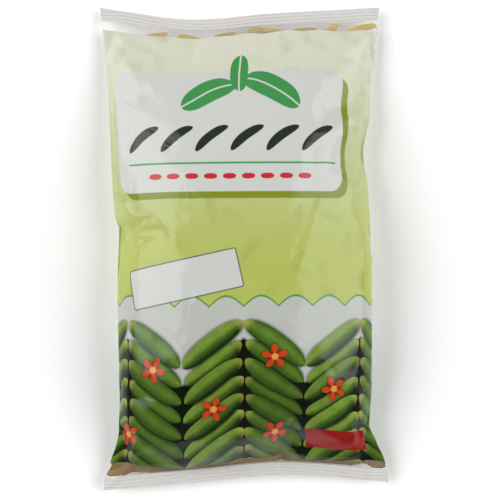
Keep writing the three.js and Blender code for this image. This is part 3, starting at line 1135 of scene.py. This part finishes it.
# How far a slice's place strays, in pitches, and its range of turns, depths in thicknesses, and sizes.
SLICE_STRAY = (-0.3, 0.3)
SLICE_TURNS = (-1.5, 1.5)
SLICE_DEPTHS = (0.6, 2.2)
SLICE_SIZES = (0.8, 1.15)
TOP_SLICE_DEPTH = 0.5
SLICE_OVAL = 0.68  # half the length of the uncut slice, as a share of the cut one's length
CUT_FACING = 0.985
SLICE_ROUNDING = 0.5 * MM
SLICE_WAIST = (0.16, 7.0)  # depth and pace of the dents between the seeds
SLICE_SHARP = math.radians(40)
SLOPE_STEP = 4.0
CORE = {"from_end": 4.0, "rows": 40, "columns": 24, "inset": 4.2}
# Rows of the brine: from, to and count.
BRINE_ROWS = ((SEAL + 0.3, 24, 36), (28, 186, 60))
BRINE_COLUMNS = 56


def bean_slice(name, length, width, thickness, slant, bend):
    """A piece of bean with an oval section, cut on the slant at both ends, lying along X."""
    bpy.ops.object.select_all(action="DESELECT")
    upright = (0, math.pi / 2, 0)
    bpy.ops.mesh.primitive_uv_sphere_add(segments=10, ring_count=8, radius=1, rotation=upright)
    piece = bpy.context.object
    piece.name = name
    piece.scale = (thickness / 2, width / 2, length * SLICE_OVAL)
    bpy.ops.object.transform_apply(location=False, rotation=True, scale=True)
    for end in (-1, 1):
        cut = {
            "plane_co": (end * length / 2, 0, 0), "plane_no": Vector((end, slant, 0)).normalized(),
            "use_fill": True, "clear_outer": True,
        }
        in_edit_mode(piece, (bpy.ops.mesh.bisect, cut))
    piece.data.materials.append(None)
    piece.data.materials.append(None)
    cut_normal = Vector((1, slant, 0)).normalized()
    for face in piece.data.polygons:
        face.material_index = int(abs(face.normal.dot(cut_normal)) > CUT_FACING)
    apply_modifier(
        piece, "Round", "BEVEL", width=SLICE_ROUNDING, segments=1, limit_method="ANGLE", angle_limit=0.6
    )
    places = vertex_places(piece)
    share = places[:, 0] / (length / 2)
    places[:, 2] += bend * length * (1 - share**2)
    places[:, 2] *= 1 - SLICE_WAIST[0] * np.cos(share * SLICE_WAIST[1]) ** 2
    set_places(piece, places)
    return piece


def slice_places(settings):
    """Middle, face, turn and size of each slice: staggered rows under the front and over the back."""
    draw = np.random.default_rng(SLICE_SEED)
    places = [(h, x, "front", turn, TOP_SLICE_DEPTH, TOP_SLICE_SIZE) for x, h, turn in TOP_SLICES]
    along, across = settings.pitch_along / MM, settings.pitch_across / MM
    for face in ("front", "back"):
        for number, h in enumerate(np.arange(SLICES_FROM, SLICES_TO, along)):
            half = float(min(left_side(h), right_side(h)) - ear(h)) - SLICE_SIDE_GAP
            first = -half + (number % 2) * across / 2
            for x in np.arange(first, half, across):
                at = h + draw.uniform(*SLICE_STRAY) * along
                places.append((
                    at, x + draw.uniform(*SLICE_STRAY) * across, face, draw.uniform(*SLICE_TURNS),
                    draw.uniform(*SLICE_DEPTHS), draw.uniform(*SLICE_SIZES),
                ))
    return places, draw


def slice_matrix(h, x, face, turn, depth, size, thickness):
    """Lays a slice along the inside of the film."""

    def point(up, right):
        height = surface_height(up, right, face, SLICE_INSET[face])
        return Vector((right, float(plan_y(up, right)), float(height)))

    across = point(h, x + SLOPE_STEP) - point(h, x - SLOPE_STEP)
    up_bag = point(h + SLOPE_STEP, x) - point(h - SLOPE_STEP, x)
    normal = across.cross(up_bag).normalized()
    inward = -1 if face == "front" else 1
    middle = point(h, x) + normal * inward * depth * thickness / MM / 2
    lengthwise = Vector((math.cos(turn), math.sin(turn), 0))
    lengthwise = (lengthwise - normal * lengthwise.dot(normal)).normalized()
    turn_to = Matrix((lengthwise, normal.cross(lengthwise), normal)).transposed().to_4x4()
    return Matrix.Translation(middle * MM) @ turn_to @ Matrix.Scale(size, 4)


def press_inside(piece, margin):
    """Moves what stands out of the film back inside it: up or down, and inwards past the sides."""
    web = BVHTree.FromObject(bpy.data.objects["film_web"], bpy.context.evaluated_depsgraph_get())
    down = Vector((0, 0, -1))
    for vertex in piece.data.vertices:
        spot = vertex.co.copy()
        for _ in range(PRESS_STEPS):
            top = web.ray_cast(Vector((spot.x, spot.y, 1)), down)[0]
            low = web.ray_cast(Vector((spot.x, spot.y, -1)), -down)[0]
            if top and top.z - low.z > LEAST_ROOM:
                break
            spot.x *= PRESS_IN
            spot.y *= PRESS_IN
        else:
            raise RuntimeError(f"{piece.name} finds no room in the film")
        keep = min(margin, KEEP_SHARE * (top.z - low.z))
        spot.z = min(max(spot.z, low.z + keep), top.z - keep)
        vertex.co = spot
    piece.data.update()


def make_slices(scene):
    settings = scene.bag_filling
    width, thickness = settings.slice_width, settings.slice_thickness
    kinds = [
        bean_slice(f"slice_{i}", settings.slice_length * share, width, thickness, slant, bend)
        for i, (share, slant, bend) in enumerate(SLICE_KINDS)
    ]
    places, draw = slice_places(settings)
    pieces = []
    for place in places:
        kind = kinds[int(draw.integers(len(kinds)))]
        piece = kind.copy()
        piece.data = kind.data.copy()
        scene.collection.objects.link(piece)
        piece.data.transform(slice_matrix(*place, thickness))
        tone = piece.data.attributes.new("tone", "FLOAT", "POINT")
        tone.data.foreach_set("value", np.full(len(piece.data.vertices), draw.uniform(), np.float32))
        pieces.append(piece)
    for kind in kinds:
        bpy.data.objects.remove(kind)
    heights = np.linspace(SLICES_FROM + CORE["from_end"], SLICES_TO - CORE["from_end"], CORE["rows"])
    core = close_panels(
        [add_panel(face, heights, CORE["columns"], CORE["inset"])[0] for face in ("front", "back")],
        "slice_core",
    )
    core.data.uv_layers.remove(core.data.uv_layers[0])
    slices = join([*pieces, core], "bean_slices_cut")
    press_inside(slices, SLICE_MARGIN * MM)
    skin = bean_material("bean_skin", settings.skin, settings.skin_green, 0.34)
    flesh = bean_material("bean_flesh", settings.flesh, settings.skin, 0.42)
    finish_piece(slices, [skin, flesh], "bean", "bean_slices", sharp=SLICE_SHARP)


def mottle_group():
    """A share that wanders over a moist surface in soft spots and fine specks."""

    def build(tree, at):
        spots = noise(at["Place"], at["Scale"], 3.0, 0.6)
        specks = noise(at["Place"], at["Scale"] * 7.0, 2.0, 0.6)
        return {"Share": (spots.rise(0.35, 0.68) * 0.8 + specks.rise(0.5, 0.75) * 0.3).most(1.0)}

    inputs = {"Place": ("vector", (0, 0, 0)), "Scale": ("value", 100.0)}
    return node_group("Mottle", inputs, {"Share": "value"}, build)


def mottle(tree, spot, scale):
    group = bpy.data.node_groups.get("Mottle") or mottle_group()
    return use_group(tree, group, {"Place": spot, "Scale": scale})["Share"]


def bean_material(name, colour, second, roughness):
    """Moist cooked bean: two tones in spots, and one slice paler than the next."""
    material, tree, shader = new_material(name)
    spot = add(tree, "ShaderNodeTexCoord", output="Object")
    tone = add(tree, "ShaderNodeAttribute", output="Fac", attribute_name="tone")
    share = mottle(tree, spot, 120.0)
    skin = mix((share * 0.6 + tone * 0.5).most(1.0), colour, second)
    ridges = noise(spot, 260.0, 3.0)
    wire(shader, {
        "Base Color": skin,
        "Roughness": share * 0.12 + roughness,
        "Specular IOR Level": 0.5,
        "Normal": bump(ridges + share * 0.4, 0.3, 0.6 * MM),
    })
    return material


def make_brine(scene):
    settings = scene.bag_filling
    heights = np.concatenate([np.linspace(*rows) for rows in BRINE_ROWS])
    insets = np.interp(heights, BRINE_INSET_AT, BRINE_INSET)
    level = BRINE_TOP / MM
    brine = close_panels(
        [add_panel(face, heights, BRINE_COLUMNS, insets, level)[0] for face in ("front", "back")],
        "brine_pool",
    )
    press_inside(brine, BRINE_MARGIN * MM)
    finish_piece(brine, [brine_material(settings)], "brine", "brine")


def brine_material(settings):
    """Cloudy olive liquid, darker in its depth."""
    material, tree, shader = new_material("brine_liquid")
    spot = add(tree, "ShaderNodeTexCoord", output="Object")
    share = mottle(tree, spot, 90.0)
    wire(shader, {
        "Base Color": mix(share, settings.brine, settings.brine_deep),
        "Roughness": share * 0.1 + 0.08,
        "IOR": 1.34,
    })
    return material


# Stage.

KEY_FROM = (-0.8, 0.16, 0.6)
FILL_FROM = (0.85, 0.12, 0.6)
SOFTBOX_ANGLE = math.radians(60)
FLOOR_SIZE = 6.0


def make_stage(scene):
    settings = scene.bag_stage
    bpy.ops.object.select_all(action="DESELECT")
    bpy.ops.mesh.primitive_plane_add(size=FLOOR_SIZE)
    floor = bpy.context.object
    floor.name = "floor"
    material, tree, shader = new_material("floor")
    spot = add(tree, "ShaderNodeTexCoord", output="Object")
    cloud = noise(spot, 1.5, 1.0)
    wire(shader, {
        "Base Color": settings.floor, "Roughness": cloud * 0.1 + 0.6, "Specular IOR Level": 0.2,
    })
    floor.data.materials.append(material)
    scene.world = bpy.data.worlds.new("studio")
    scene.world.use_nodes = True
    room = scene.world.node_tree
    _, _, up = add(room, "ShaderNodeTexCoord", output="Generated").parts()
    strength = up.rise(0.15, 0.85) * (settings.zenith - settings.horizon) + settings.horizon
    room.links.new(strength.socket, room.nodes["Background"].inputs["Strength"])
    room.nodes["Background"].inputs["Color"].default_value = (1, 1, 1, 1)
    for name, place, strength in (("key", KEY_FROM, settings.key), ("fill", FILL_FROM, settings.fill)):
        bpy.ops.object.light_add(type="SUN", location=place)
        light = bpy.context.object
        light.name = name
        light.data.angle = SOFTBOX_ANGLE
        light.data.energy = strength
        light.rotation_euler = (-Vector(place)).to_track_quat("-Z", "Y").to_euler()
    scene.view_settings.view_transform = "Standard"
    bpy.ops.object.camera_add(rotation=(0, 0, 0))
    camera = bpy.context.object
    camera.data.lens = settings.lens
    away = settings.view_width / camera.data.sensor_width * settings.lens
    camera.location = (settings.centre_x, settings.centre_y, away + settings.sides_height)
    scene.camera = camera


# Operators and panel.


class BAG_OT_film(bpy.types.Operator):
    """Build the printed film and settle it over the filling"""

    bl_idname = "bag.make_film"
    bl_label = "Film"

    def execute(self, context):
        make_film(context.scene)
        return {"FINISHED"}


class BAG_OT_lap(bpy.types.Operator):
    """Lap the web's outer edge down the back"""

    bl_idname = "bag.make_lap"
    bl_label = "Lap seam"

    def execute(self, context):
        make_lap()
        return {"FINISHED"}


class BAG_OT_slices(bpy.types.Operator):
    """Fill the film with cut bean slices"""

    bl_idname = "bag.make_slices"
    bl_label = "Bean slices"

    def execute(self, context):
        make_slices(context.scene)
        return {"FINISHED"}


class BAG_OT_brine(bpy.types.Operator):
    """Pour the brine into the low part of the bag"""

    bl_idname = "bag.make_brine"
    bl_label = "Brine"

    def execute(self, context):
        make_brine(context.scene)
        return {"FINISHED"}


class BAG_OT_stage(bpy.types.Operator):
    """Set up the floor, the light and the camera"""

    bl_idname = "bag.make_stage"
    bl_label = "Stage"

    def execute(self, context):
        make_stage(context.scene)
        return {"FINISHED"}


OPERATORS = (BAG_OT_film, BAG_OT_lap, BAG_OT_slices, BAG_OT_brine, BAG_OT_stage)


class BAG_PT_panel(bpy.types.Panel):
    """Lists the steps that build the bag"""

    bl_idname = "BAG_PT_panel"
    bl_label = "Pillow Bag"
    bl_space_type = "VIEW_3D"
    bl_region_type = "UI"
    bl_category = "Pillow Bag"

    def draw(self, context):
        for operator in OPERATORS:
            self.layout.operator(operator.bl_idname)


SETTINGS = {
    "bag_film": FilmSettings,
    "bag_print": PrintSettings,
    "bag_filling": FillingSettings,
    "bag_stage": StageSettings,
}


def register():
    for kind in (*SETTINGS.values(), *OPERATORS, BAG_PT_panel):
        bpy.utils.register_class(kind)
    for name, kind in SETTINGS.items():
        setattr(bpy.types.Scene, name, bpy.props.PointerProperty(type=kind))


def unregister():
    for name in SETTINGS:
        delattr(bpy.types.Scene, name)
    for kind in reversed((*SETTINGS.values(), *OPERATORS, BAG_PT_panel)):
        bpy.utils.unregister_class(kind)


def main():
    register()
    bpy.ops.bag.make_film()
    bpy.ops.bag.make_lap()
    bpy.ops.bag.make_slices()
    bpy.ops.bag.make_brine()
    bpy.ops.bag.make_stage()


if __name__ == "__main__":
    main()
